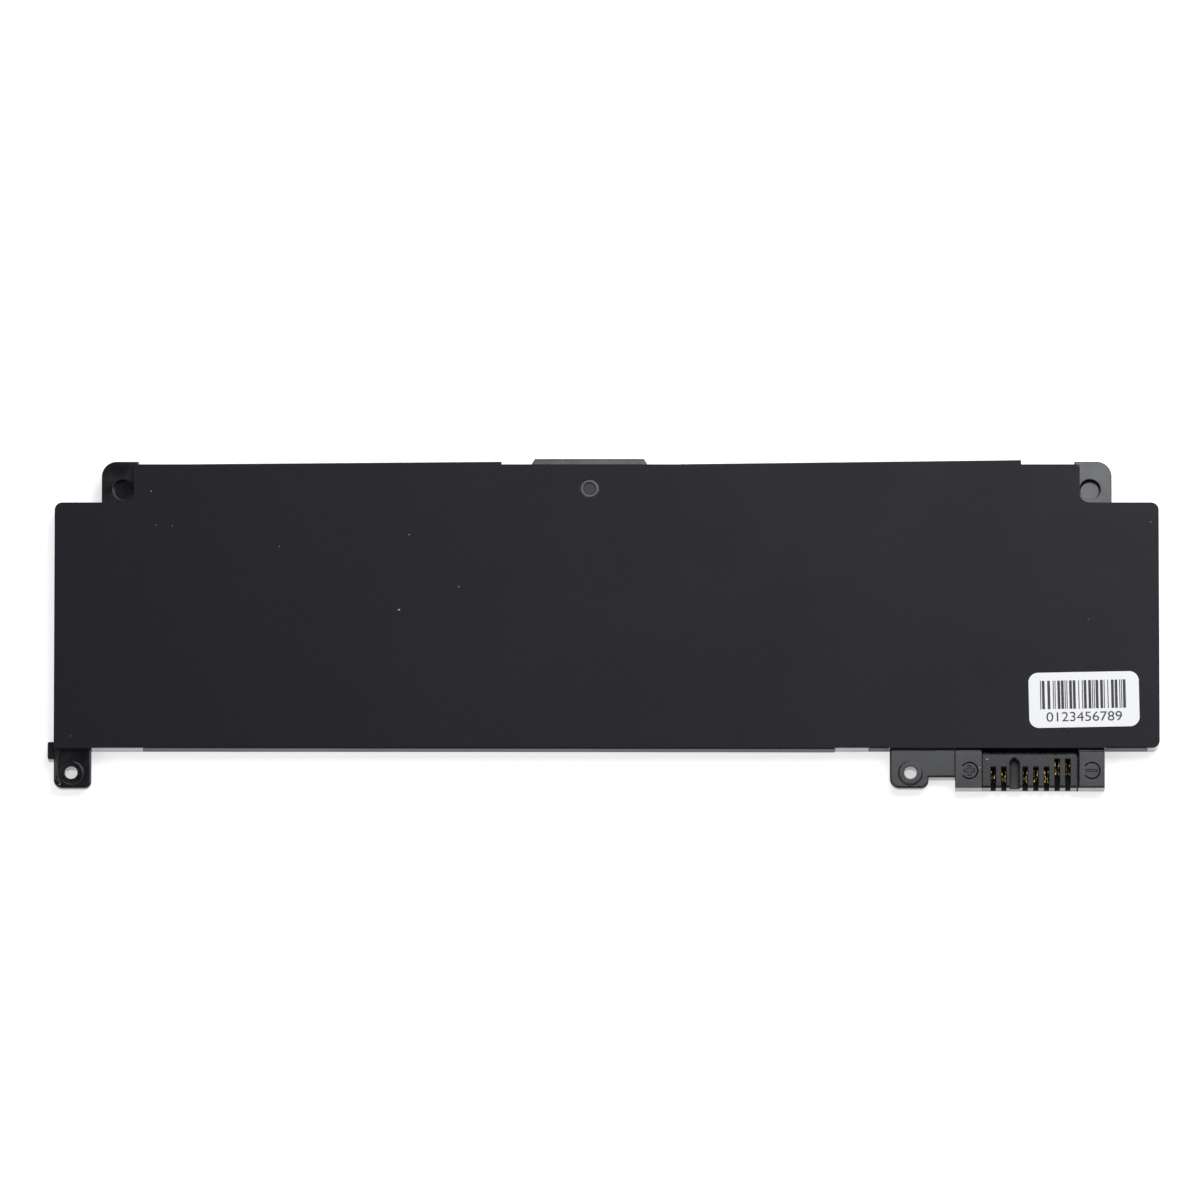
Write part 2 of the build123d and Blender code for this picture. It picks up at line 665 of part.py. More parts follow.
# Rows of small chips on the board
chip_rows = {
    "capacitors": (CAPACITOR, CAPACITOR_ROW_COUNT, CAPACITOR_X),
    "resistors": (RESISTOR, RESISTOR_ROW_COUNT, RESISTOR_X),
}
for name, ((length, depth, height), rows, place_x) in chip_rows.items():
    with BuildPart() as chips:
        with BuildSketch(level(board_top, place_x, board_middle_y)):
            with GridLocations(length + CHIP_GAP, depth + CHIP_GAP, CHIP_COLUMN_COUNT, rows):
                Rectangle(length, depth)
        extrude(amount=height)
    finish(chips, name)

# Pouch cells: a pressed cup with folded side seams and a flat sealed terrace towards the board
cell_width = cell_bay - 2 * CELL_SIDE_GAP
cup_width = cell_width - 2 * SEAM_THICKNESS
cup_depth = cell_back_y - cup_front_y
for number, centre in enumerate(cell_centres, start=1):
    with BuildPart() as cell:
        with BuildSketch(level(cell_low, centre, cup_front_y + cup_depth / 2)):
            RectangleRounded(cup_width, cup_depth, CELL_CORNER_RADIUS)
        extrude(amount=cell_top - cell_low)
        chamfer(cell.faces().sort_by(Axis.Z)[-1].edges(), CELL_EDGE_CHAMFER)
        with BuildSketch(level(cell_low, centre, cup_front_y + cup_depth / 2)):
            with GridLocations(cup_width + SEAM_THICKNESS, cup_depth, 2, 1):
                Rectangle(SEAM_THICKNESS, cup_depth - 2 * SEAM_INSET)
        extrude(amount=SEAM_HEIGHT)
        with BuildSketch(level(terrace_low, centre)):
            area(-cup_width / 2, cup_width / 2, cell_front_y, cup_front_y + CELL_CORNER_RADIUS)
        extrude(amount=TERRACE_THICKNESS)
    finish(cell, f"cell_{number}")

    with BuildPart() as cell_tape:
        with BuildSketch(level(frame_low, centre, cup_front_y + cup_depth / 2)):
            Rectangle(cup_width - 2 * CELL_TAPE_INSET, cup_depth - 2 * CELL_TAPE_INSET)
        extrude(amount=CELL_TAPE)
    finish(cell_tape, f"cell_tape_{number}")

# Terminal strips, the plates they are welded to and the tape over each weld
weld_front_y = board_middle_y - WELD_DEPTH / 2
strip_front_y = weld_front_y + WELD_MARGIN
weld_number = 0
for number, centre in enumerate(cell_centres, start=1):
    for sign, pole in ((-1, "negative"), (1, "positive")):
        strip_x = centre + sign * STRIP_SPACING / 2
        weld_number += 1
        with BuildPart() as strip:
            with BuildSketch(level(strip_low, strip_x)):
                area(-STRIP_WIDTH / 2, STRIP_WIDTH / 2, strip_front_y, cell_front_y)
            extrude(amount=STRIP_THICKNESS)
        finish(strip, f"{pole}_tab_{number}")

        with BuildPart() as weld_plate:
            with BuildSketch(level(board_top, strip_x, board_middle_y)):
                Rectangle(WELD_LENGTH, WELD_DEPTH)
            extrude(amount=WELD_THICKNESS)
        finish(weld_plate, f"weld_plate_{weld_number}")

        with BuildPart() as tab_tape:
            tape_half = STRIP_WIDTH / 2 + TAB_TAPE_OVERLAP
            with BuildSketch(level(strip_top, strip_x)):
                area(-tape_half, tape_half, strip_front_y, cell_front_y - TAB_TAPE_MARGIN)
            extrude(amount=TAB_TAPE)
        finish(tab_tape, f"tab_tape_{weld_number}")

# Face film: one sheet with a round window, notched round the tabs, its flaps folded down
with BuildPart() as face_film:
    # Flaps first, each rounded along its fold and hollow behind it
    with BuildSketch(level(PACK_THICKNESS)):
        for flap in flaps:
            flap_area(*flap, thickness=0)
    extrude(amount=-FLAP_DROP)
    folds = []
    for start, end, start_lift, end_lift, edge, way in flaps:
        fold_y = edge + way * (start_lift + end_lift) / 2
        fold_middle = (origin_x + (start + end) / 2, origin_y + fold_y, PACK_THICKNESS)
        folds.append(face_film.edges().sort_by_distance(fold_middle)[0])
    fillet(folds, FOLD_RADIUS)
    with BuildSketch(level(film_low)):
        for flap in flaps:
            flap_area(*flap, thickness=FACE_FILM)
    extrude(amount=FACE_FILM - FLAP_DROP, mode=Mode.SUBTRACT)

    # Then the sheet between them, cut back where the flaps begin to turn
    with BuildSketch(level(film_low)) as sheet:
        body_outline(sheet)
        fillet(corners(sheet, (-film_step_x, shoulder_y), (film_step_x, shoulder_y)), FILM_NOTCH_RADIUS)
        film_corners = ((-film_step_x, BODY_DEPTH), (film_step_x, BODY_DEPTH), (-side_x, 0))
        fillet(corners(sheet, *film_corners), FILM_CORNER_RADIUS)
        with Locations((REAR_CENTRE_X, window_y)):
            Circle(WINDOW_RADIUS, mode=Mode.SUBTRACT)
        for start, end, start_lift, end_lift, edge, way in flaps:
            with Locations(((start + end) / 2, edge)):
                Rectangle(end - start, 2 * FOLD_SETBACK, mode=Mode.SUBTRACT)
    extrude(amount=FACE_FILM)
finish(face_film, "face_film")

# Under film: a plain sheet a little inside the body's outline
with BuildPart() as under_film:
    with BuildSketch(level(0)) as under_sheet:
        body_outline(under_sheet)
        offset(amount=-UNDER_FILM_INSET)
    extrude(amount=UNDER_FILM)
finish(under_film, "under_film")

# Sticker on the face film, set a little askew
with BuildPart() as sticker:
    with BuildSketch(level(PACK_THICKNESS, sticker_x, STICKER_SETBACK).rotated((0, 0, STICKER_TURN))):
        RectangleRounded(STICKER_WIDTH, STICKER_DEPTH, STICKER_RADIUS)
    extrude(amount=STICKER_THICKNESS)
finish(sticker, "sticker")
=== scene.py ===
"""Slim notebook battery pack: finishes, print, marks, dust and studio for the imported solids."""

import math

import bmesh
import bpy
from mathutils import Matrix, Vector


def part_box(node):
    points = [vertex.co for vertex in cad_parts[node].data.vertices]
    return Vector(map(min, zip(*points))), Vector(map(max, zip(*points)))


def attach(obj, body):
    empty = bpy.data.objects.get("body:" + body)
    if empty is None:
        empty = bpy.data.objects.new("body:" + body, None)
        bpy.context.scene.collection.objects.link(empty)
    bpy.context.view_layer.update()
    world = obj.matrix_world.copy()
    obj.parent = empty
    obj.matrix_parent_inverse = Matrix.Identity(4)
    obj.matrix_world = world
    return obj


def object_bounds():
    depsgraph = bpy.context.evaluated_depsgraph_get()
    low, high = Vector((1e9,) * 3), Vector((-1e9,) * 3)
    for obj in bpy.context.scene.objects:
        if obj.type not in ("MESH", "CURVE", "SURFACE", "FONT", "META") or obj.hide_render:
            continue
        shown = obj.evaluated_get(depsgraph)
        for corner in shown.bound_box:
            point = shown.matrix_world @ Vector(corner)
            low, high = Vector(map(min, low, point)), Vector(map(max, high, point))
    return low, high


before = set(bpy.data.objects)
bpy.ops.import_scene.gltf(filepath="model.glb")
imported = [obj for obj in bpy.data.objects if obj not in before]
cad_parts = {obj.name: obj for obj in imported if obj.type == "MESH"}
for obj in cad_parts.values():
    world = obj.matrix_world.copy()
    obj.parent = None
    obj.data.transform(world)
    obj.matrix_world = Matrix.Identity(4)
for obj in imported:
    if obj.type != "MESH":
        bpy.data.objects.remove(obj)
cad_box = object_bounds()

# Units
MM = 0.001

# Sticker print, measured from the sticker's middle and turned with it
STICKER_TURN = 1.1
BARS_PLACE = (-0.23, 1.26)
BARS_SIZE = (20.4, 6.9)
BAR_COUNT = 26
DIGITS = "0123456789"
DIGITS_PLACE = (-0.05, -4.1)
DIGITS_SIZE = (18.0, 2.3)
INK_THICKNESS = 0.02

# Polarity marks on the two connector blocks, drawn as near-black pieces: painted shade of engraved
# grooves
MARK_RADIUS = 1.95
MARK_LINE = 0.36
MARK_OPENING = 70.0
MARK_STEPS = 40
MARK_DEPTH = 0.15
MARK_PROUD = 0.012
SIGN_LINE = 0.16
PLUS_SPAN = 2.6
PLUS_ARM = 0.85
MINUS_SIZE = (2.9, 0.62)
BLOCK_ABOVE_HOUSING = 0.15
PLUS_FROM_HOUSING = -3.06
MINUS_FROM_HOUSING = 3.61
MARK_SETBACK = 4.2

# Noise patterns: the span that most of their values fall in, and their octaves
NOISE_SPAN = (0.3, 0.7)
NOISE_DETAIL = 3.0

# Mouldings: the radius on their edges, shaded only, and how dull they are in narrow cavities
EDGE_RADIUS = 0.3
EDGE_SAMPLES = 6
CAVITY_SAMPLES = 8
CAVITY_OPENNESS = (0.3, 0.9)
CAVITY_ROUGHNESS = 0.9

# Film: feature sizes, heights and finish
FILM_TOOTH = 0.45
FILM_TOOTH_RELIEF = 0.006
FILM_TOOTH_DETAIL = 4.0
FILM_TOOTH_ROUGHNESS = 0.6
FILM_CLOUD = 28.0
FILM_CLOUD_DETAIL = 2.0
FILM_SLACK = 0.1
FILM_TONES = ("#15151b", "#1c1c23")
FILM_GLOSS = (0.42, 0.48)
FILM_IOR = 1.5
FILM_SPECULAR = 0.18

# Board: feature sizes, heights and finish; a wave texture turns 20 radians in a unit of its scale
BOARD_TRACK_PITCH = 0.9
BOARD_TRACK_BEND = 6.0
BOARD_TRACK_WARP = 1.5
BOARD_TRACK_RELIEF = 0.03
BOARD_TRACK_EDGES = (0.45, 0.55)
BOARD_WEAVE = 0.4
BOARD_TONES = ("#0c3524", "#195a3f")
BOARD_GLOSS = (0.25, 0.4)
BOARD_IOR = 1.55
WAVE_RATE = 20.0

# Dull floor of the boss in the film's window
WINDOW_FLOOR_RADIUS = 1.48
WINDOW_FLOOR_DROP = 0.43
WINDOW_FLOOR_THICKNESS = 0.01
WINDOW_FLOOR_SIDES = 48
WINDOW_PLACE = (-3.35, 32.45)

# Dust specks on the face film, and pale specks on the connector and the left lug: place and length
FILM_DUST = (
    (-48.8, 2.9, 0.6),
    (-34.5, 8.5, 0.34),
    (-46.4, 21.2, 0.29),
    (-108.0, 31.8, 0.32),
    (-106.8, 23.6, 0.23),
    (-102.9, 23.4, 0.21),
    (-77.4, 18.3, 0.22),
    (-127.0, -27.8, 0.18),
    (130.7, 24.3, 0.27),
    (115.6, 0.7, 0.21),
)
HOUSING_SPECKS = ((91.4, -33.3, 0.5),)
BLOCK_SPECKS = ((89.7, -35.4, 0.35),)
LUG_SPECKS = ((-129.6, -39.2, 0.4),)
LUG_BELOW_FILM = 1.55
DUST_FLATNESS = 0.3
DUST_WIDTH = 0.6
DUST_TURN = 1.3
DUST_SUBDIVISIONS = 2

# Camera: a long lens at the photograph's angle
VIEW_WIDTH = 286.3
VIEW_ELEVATION = 78.5
VIEW_MIDDLE = (-0.84, 5.27, 5.5)
CAMERA_DISTANCE = 6000.0
SENSOR_WIDTH = 36.0

# Studio
FLOOR_SIZE = 6000.0
FLOOR_DROP = 0.02
FLOOR_COLOUR = "#ececec"
FLOOR_LIFT = 0.62
FLOOR_MIRRORED = 1.0
KEY_PLACE = (345.0, 478.0, 800.0)
KEY_SIZE = (750.0, 700.0)
KEY_RADIANCE = 4.8
KEY_COLOUR = "#f8faff"
FILL_PLACE = (-600.0, -700.0, 650.0)
FILL_SIZE = (800.0, 600.0)
FILL_RADIANCE = 1.6
SKY_LEVEL = 1.0
ZENITH_LEVEL = 0.03


def linear(hex_colour):
    """Turns an sRGB hex colour into linear RGBA."""
    parts = [int(hex_colour[start:start + 2], 16) / 255 for start in (1, 3, 5)]
    bent = [part / 12.92 if part <= 0.04045 else ((part + 0.055) / 1.055) ** 2.4 for part in parts]
    return (*bent, 1.0)


def per_metre(size):
    """Texture scale for a pattern whose features are size millimetres across."""
    return 1.0 / (size * MM)


def add_node(tree, kind, sockets=None, **settings):
    """Adds a shader node with its settings, socket values and incoming links."""
    node = tree.nodes.new("ShaderNode" + kind)
    for name, value in settings.items():
        setattr(node, name, value)
    places = {socket.identifier: socket for socket in node.inputs}
    for name, value in (sockets or {}).items():
        if isinstance(value, bpy.types.NodeSocket):
            tree.links.new(value, places[name])
        else:
            places[name].default_value = value
    return node


def start_material(name):
    """Makes an empty node material."""
    material = bpy.data.materials.new(name)
    material.use_nodes = True
    material.node_tree.nodes.clear()
    return material, material.node_tree


def end_material(tree, tone, roughness, normal, **shader):
    """Closes a material with its surface shader."""
    surface = add_node(tree, "BsdfPrincipled", {
        "Base Color": tone,
        "Roughness": roughness,
        "Normal": normal,
        **shader,
    })
    add_node(tree, "OutputMaterial", {"Surface": surface.outputs["BSDF"]})


def set_tones(ramp, dark, light, start=NOISE_SPAN[0], end=NOISE_SPAN[1]):
    """Sets a ramp's two tones."""
    first, last = ramp.color_ramp.elements
    first.position = start
    first.color = linear(dark)
    last.position = end
    last.color = linear(light)


def moulded_material(
        name, tones, roughness, grain, grain_relief, wave, wave_relief, cavity, **shader):
    """Moulded plastic: grain over slow waves, soft at its edges and dull in narrow cavities."""
    material, tree = start_material(name)
    place = add_node(tree, "TexCoord")
    fine = add_node(tree, "TexNoise", {
        "Vector": place.outputs["Object"],
        "Scale": per_metre(grain),
        "Detail": NOISE_DETAIL,
    })
    slow = add_node(tree, "TexNoise", {
        "Vector": place.outputs["Object"],
        "Scale": per_metre(wave),
        "Detail": NOISE_DETAIL,
    })
    tone = add_node(tree, "ValToRGB", {"Fac": slow.outputs["Fac"]})
    set_tones(tone, *tones)
    gloss = add_node(tree, "MapRange", {
        "Value": slow.outputs["Fac"],
        "From Min": NOISE_SPAN[0],
        "From Max": NOISE_SPAN[1],
        "To Min": roughness[0],
        "To Max": roughness[1],
    })
    openness = add_node(tree, "AmbientOcclusion", {
        "Distance": cavity * MM,
    }, samples=CAVITY_SAMPLES, only_local=True)
    dullness = add_node(tree, "MapRange", {
        "Value": openness.outputs["AO"],
        "From Min": CAVITY_OPENNESS[0],
        "From Max": CAVITY_OPENNESS[1],
        "To Min": CAVITY_ROUGHNESS,
        "To Max": 0.0,
    })
    roughest = add_node(tree, "Math", {
        "Value": gloss.outputs["Result"],
        "Value_001": dullness.outputs["Result"],
    }, operation="MAXIMUM")
    edges = add_node(tree, "Bevel", {"Radius": EDGE_RADIUS * MM}, samples=EDGE_SAMPLES)
    waves = add_node(tree, "Bump", {
        "Height": slow.outputs["Fac"],
        "Distance": wave_relief * MM,
        "Normal": edges.outputs["Normal"],
    })
    bump = add_node(tree, "Bump", {
        "Height": fine.outputs["Fac"],
        "Distance": grain_relief * MM,
        "Normal": waves.outputs["Normal"],
    })
    end_material(
        tree, tone.outputs["Color"], roughest.outputs["Value"], bump.outputs["Normal"], **shader)
    return material


def sheet_material(name, tones, roughness, grain, relief, stretch=(1.0, 1.0, 1.0), **shader):
    """Rolled, coated or printed sheet: one grain, drawn out along an axis where it was rolled."""
    material, tree = start_material(name)
    place = add_node(tree, "TexCoord")
    turn = add_node(tree, "Mapping", {"Vector": place.outputs["Object"], "Scale": stretch})
    noise = add_node(tree, "TexNoise", {
        "Vector": turn.outputs["Vector"],
        "Scale": per_metre(grain),
        "Detail": NOISE_DETAIL,
    })
    tone = add_node(tree, "ValToRGB", {"Fac": noise.outputs["Fac"]})
    set_tones(tone, *tones)
    gloss = add_node(tree, "MapRange", {
        "Value": noise.outputs["Fac"],
        "To Min": roughness[0],
        "To Max": roughness[1],
    })
    bump = add_node(tree, "Bump", {"Height": noise.outputs["Fac"], "Distance": relief * MM})
    end_material(
        tree, tone.outputs["Color"], gloss.outputs["Result"], bump.outputs["Normal"], **shader)
    return material


def film_material():
    """Matt black polyester film: a dull coat with a fine tooth, a slight cloud and some slack."""
    material, tree = start_material("matt polyester film")
    place = add_node(tree, "TexCoord")
    tooth = add_node(tree, "TexNoise", {
        "Vector": place.outputs["Object"],
        "Scale": per_metre(FILM_TOOTH),
        "Detail": FILM_TOOTH_DETAIL,
        "Roughness": FILM_TOOTH_ROUGHNESS,
    })
    cloud = add_node(tree, "TexNoise", {
        "Vector": place.outputs["Object"],
        "Scale": per_metre(FILM_CLOUD),
        "Detail": FILM_CLOUD_DETAIL,
    })
    tone = add_node(tree, "ValToRGB", {"Fac": tooth.outputs["Fac"]})
    set_tones(tone, *FILM_TONES)
    gloss = add_node(tree, "MapRange", {
        "Value": cloud.outputs["Fac"],
        "From Min": NOISE_SPAN[0],
        "From Max": NOISE_SPAN[1],
        "To Min": FILM_GLOSS[0],
        "To Max": FILM_GLOSS[1],
    })
    slack = add_node(tree, "Bump", {
        "Height": cloud.outputs["Fac"],
        "Distance": FILM_SLACK * MM,
    })
    bump = add_node(tree, "Bump", {
        "Height": tooth.outputs["Fac"],
        "Distance": FILM_TOOTH_RELIEF * MM,
        "Normal": slack.outputs["Normal"],
    })
    end_material(
        tree,
        tone.outputs["Color"],
        gloss.outputs["Result"],
        bump.outputs["Normal"],
        **{"IOR": FILM_IOR, "Specular IOR Level": FILM_SPECULAR},
    )
    return material


def board_material():
    """Green solder resist on woven glass laminate: glossy, with the copper tracks as paler bands."""
    material, tree = start_material("solder resist on glass laminate")
    place = add_node(tree, "TexCoord")
    bend = add_node(tree, "TexNoise", {
        "Vector": place.outputs["Object"],
        "Scale": per_metre(BOARD_TRACK_BEND),
        "Detail": 0.0,
    })
    track = add_node(tree, "TexWave", {
        "Vector": place.outputs["Object"],
        "Scale": per_metre(BOARD_TRACK_PITCH) / WAVE_RATE,
        "Distortion": BOARD_TRACK_WARP,
        "Phase Offset": bend.outputs["Fac"],
    }, bands_direction="Y", wave_profile="SIN")
    weave = add_node(tree, "TexNoise", {
        "Vector": place.outputs["Object"],
        "Scale": per_metre(BOARD_WEAVE),
    })
    tone = add_node(tree, "ValToRGB", {"Fac": track.outputs["Fac"]})
    set_tones(tone, *BOARD_TONES, *BOARD_TRACK_EDGES)
    gloss = add_node(tree, "MapRange", {
        "Value": weave.outputs["Fac"],
        "To Min": BOARD_GLOSS[0],
        "To Max": BOARD_GLOSS[1],
    })
    bump = add_node(tree, "Bump", {
        "Height": track.outputs["Fac"],
        "Distance": BOARD_TRACK_RELIEF * MM,
    })
    end_material(
        tree,
        tone.outputs["Color"],
        gloss.outputs["Result"],
        bump.outputs["Normal"],
        IOR=BOARD_IOR,
    )
    return material


# Finishes
matt_film = film_material()
solder_resist = board_material()
# Black ABS blend: near-black and half glossy; the grain is drawn coarser than it is, so that it shows
moulded_abs = moulded_material(
    "moulded ABS", ("#0c0c11", "#18181d"), (0.14, 0.24), 0.35, 0.004, 4.5, 0.006, 0.3, IOR=1.53)
# Glass-filled polyester of the connector: drier than the frame, and dark down in its slots
filled_polyester = moulded_material(
    "glass-filled polyester", ("#0c0c10", "#1e1e23"), (0.22, 0.34), 0.4, 0.006, 1.2, 0.006, 4.0,
    IOR=1.45)
# Spark-eroded ABS on the floor of the film's window: the same plastic, left dull
eroded_abs = moulded_material(
    "spark-eroded ABS", ("#16161b", "#222227"), (0.42, 0.5), 0.3, 0.01, 1.0, 0.01, 0.3, IOR=1.53)
# Engraved lines: near-black, dull and with little shine, painted shade standing for the shade inside
# the grooves
painted_groove_shade = moulded_material(
    "painted groove shade", ("#08080a", "#0f0f11"), (0.8, 0.95), 0.3, 0.004, 1.0, 0.004, 0.3,
    **{"Specular IOR Level": 0.1})
# Moulded epoxy of the chips: dull black with a fine tooth
moulded_epoxy = moulded_material(
    "moulded epoxy", ("#161617", "#202021"), (0.5, 0.62), 0.25, 0.008, 2.0, 0.01, 0.3, IOR=1.55)
# Fired ceramic of the small chips: brown, fine and half dull
fired_ceramic = moulded_material(
    "fired ceramic", ("#7c5f45", "#957655"), (0.35, 0.5), 0.3, 0.006, 1.0, 0.006, 0.3, IOR=1.6)
# Coated label paper: bright, with the faintest fibre
label_paper = sheet_material(
    "coated label paper", ("#fcfcfb", "#ffffff"), (0.5, 0.6), 0.6, 0.006, IOR=1.5)
# Ribbon print: a thin black wax that sits unevenly on the paper
ribbon_ink = sheet_material(
    "ribbon ink", ("#1d1c20", "#3a393d"), (0.4, 0.55), 0.5, 0.004, IOR=1.5)
# Gold flash over phosphor bronze: the dark patches are painted shade of the slots and the bright warm
# patches are painted glints
gold_painted_shade_and_glints = sheet_material(
    "gold-flashed bronze, painted shade and glints", ("#160f06", "#c9a866", 0.5, 0.68), (0.22, 0.4), 0.6, 0.004, Metallic=1.0)
# Aluminium foil laminate of a pouch cell: a soft metal sheen with slow crinkles
foil_laminate = sheet_material(
    "foil laminate", ("#a9acb0", "#c2c5c8"), (0.3, 0.42), 4.0, 0.05, Metallic=1.0)
# Tissue tape: milky and dull
tissue_tape = sheet_material(
    "tissue tape", ("#d2cfc6", "#e2dfd8"), (0.45, 0.6), 1.2, 0.02, IOR=1.48)
# Rolled aluminium strip: bright, with rolling lines along its length
rolled_aluminium = sheet_material(
    "rolled aluminium", ("#bcbec0", "#cfd1d2"), (0.25, 0.38), 0.3, 0.004, (1.0, 0.05, 1.0),
    Metallic=1.0)
# Rolled nickel strip: a little warmer and duller
rolled_nickel = sheet_material(
    "rolled nickel", ("#a5a098", "#bab5ab"), (0.28, 0.42), 0.3, 0.004, (1.0, 0.05, 1.0),
    Metallic=1.0)
# Polyimide tape over the welds: clear amber and glossy
polyimide_tape = sheet_material(
    "polyimide tape", ("#9a5510", "#b86c1c"), (0.2, 0.32), 1.5, 0.01, IOR=1.65)
# House dust on the film, and the pale specks on the connector and the lug: pale lint that scatters
# all light
dust_and_pale_specks = sheet_material(
    "lint", ("#a8a6a2", "#cfcdc9"), (0.8, 0.95), 0.15, 0.01, IOR=1.4)

node_finishes = {
    "frame": moulded_abs,
    "face_film": matt_film,
    "under_film": matt_film,
    "sticker": label_paper,
    "connector_housing": filled_polyester,
    "contact": gold_painted_shade_and_glints,
    "cell": foil_laminate,
    "cell_tape": tissue_tape,
    "positive_tab": rolled_aluminium,
    "negative_tab": rolled_nickel,
    "weld_plate": rolled_nickel,
    "tab_tape": polyimide_tape,
    "protection_board": solder_resist,
    "gauge_chip": moulded_epoxy,
    "protector_chip": moulded_epoxy,
    "charge_switch": moulded_epoxy,
    "discharge_switch": moulded_epoxy,
    "fuse": fired_ceramic,
    "sense_resistor": moulded_epoxy,
    "thermistor": moulded_epoxy,
    "capacitors": fired_ceramic,
    "resistors": moulded_epoxy,
}
for node_name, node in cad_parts.items():
    node.data.materials.clear()
    node.data.materials.append(node_finishes[node_name.rstrip("_0123456789")])


def add_piece(name, shape, finish):
    """Turns a finished bmesh into a piece that goes with the pack."""
    mesh = bpy.data.meshes.new(name)
    shape.to_mesh(mesh)
    shape.free()
    mesh.materials.append(finish)
    piece = bpy.data.objects.new(name, mesh)
    bpy.context.collection.objects.link(piece)
    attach(piece, "root")
    return piece


# Sticker print
sticker_low, sticker_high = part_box("sticker")
sticker_middle = (sticker_low + sticker_high) / 2
sticker_place = (
    Matrix.Translation((sticker_middle.x, sticker_middle.y, sticker_high.z))
    @ Matrix.Rotation(math.radians(STICKER_TURN), 4, "Z")
    @ Matrix.Scale(MM, 4)
)

# Bars and gaps of a few units each, by a formula that encodes nothing
bar_widths = [1 + (7 * index * index + 3 * index) % 4 for index in range(BAR_COUNT)]
gap_widths = [1 + (5 * index + index * index // 3) % 3 for index in range(BAR_COUNT)]
bar_unit = BARS_SIZE[0] / (sum(bar_widths) + sum(gap_widths[:-1]))
bars = bmesh.new()
bar_start = BARS_PLACE[0] - BARS_SIZE[0] / 2
for bar_width, gap_width in zip(bar_widths, gap_widths):
    width = bar_width * bar_unit
    middle = (bar_start + width / 2, BARS_PLACE[1], INK_THICKNESS / 2)
    size = Matrix.Diagonal((width, BARS_SIZE[1], INK_THICKNESS, 1.0))
    bmesh.ops.create_cube(bars, size=1.0, matrix=sticker_place @ Matrix.Translation(middle) @ size)
    bar_start += width + gap_width * bar_unit
add_piece("sticker_bars", bars, ribbon_ink)

digit_curve = bpy.data.curves.new("sticker_digits", "FONT")
digit_curve.body = DIGITS
digit_curve.extrude = INK_THICKNESS / 2
digit_text = bpy.data.objects.new("sticker_digits_text", digit_curve)
bpy.context.collection.objects.link(digit_text)
digit_mesh = bpy.data.meshes.new_from_object(
    digit_text.evaluated_get(bpy.context.evaluated_depsgraph_get()))
bpy.data.objects.remove(digit_text)
digits = bmesh.new()
digits.from_mesh(digit_mesh)
digit_low = Vector([min(vert.co[axis] for vert in digits.verts) for axis in range(3)])
digit_high = Vector([max(vert.co[axis] for vert in digits.verts) for axis in range(3)])
digit_size = digit_high - digit_low
digit_scale = Matrix.Diagonal(
    (DIGITS_SIZE[0] / digit_size.x, DIGITS_SIZE[1] / digit_size.y, 1.0, 1.0))
digit_place = Matrix.Translation((*DIGITS_PLACE, INK_THICKNESS / 2))
digit_centre = Matrix.Translation(-(digit_low + digit_high) / 2)
bmesh.ops.transform(
    digits, matrix=sticker_place @ digit_place @ digit_scale @ digit_centre, verts=digits.verts)
add_piece("sticker_digits", digits, ribbon_ink)


def mark_ring():
    """A ring of painted groove shade, open on its left: the line's cross-section spun round the
    middle.
    """
    shape = bmesh.new()
    inner = MARK_RADIUS - MARK_LINE / 2
    outer = MARK_RADIUS + MARK_LINE / 2
    section = [(inner, -MARK_DEPTH), (outer, -MARK_DEPTH), (outer, MARK_PROUD), (inner, MARK_PROUD)]
    face = shape.faces.new([shape.verts.new((x, 0.0, z)) for x, z in section])
    bmesh.ops.rotate(
        shape,
        verts=shape.verts,
        cent=(0.0, 0.0, 0.0),
        matrix=Matrix.Rotation(math.radians(180.0 + MARK_OPENING / 2), 3, "Z"),
    )
    bmesh.ops.spin(
        shape,
        geom=[*face.verts, *face.edges, face],
        cent=(0.0, 0.0, 0.0),
        axis=(0.0, 0.0, 1.0),
        angle=math.radians(360.0 - MARK_OPENING),
        steps=MARK_STEPS,
    )
    return shape


def add_sign(shape, points):
    """Adds a sign drawn as an outline of painted groove shade along its edge points."""
    before = set(shape.faces)
    face = shape.faces.new([shape.verts.new((x, y, -MARK_DEPTH)) for x, y in points])
    face.normal_update()
    bmesh.ops.inset_individual(shape, faces=[face], thickness=SIGN_LINE, use_even_offset=True)
    bmesh.ops.delete(shape, geom=[face], context="FACES")
    line = [found for found in shape.faces if found not in before]
    raised = bmesh.ops.extrude_face_region(shape, geom=line)
    top = [found for found in raised["geom"] if isinstance(found, bmesh.types.BMVert)]
    bmesh.ops.translate(shape, verts=top, vec=(0.0, 0.0, MARK_DEPTH + MARK_PROUD))


def add_mark(name, points, x, y, z):
    """Places a ring with its sign on a connector block."""
    shape = mark_ring()
    add_sign(shape, points)
    bmesh.ops.recalc_face_normals(shape, faces=shape.faces)
    place = Matrix.Translation((x, y, z)) @ Matrix.Scale(MM, 4)
    bmesh.ops.transform(shape, matrix=place, verts=shape.verts)
    return add_piece(name, shape, painted_groove_shade)


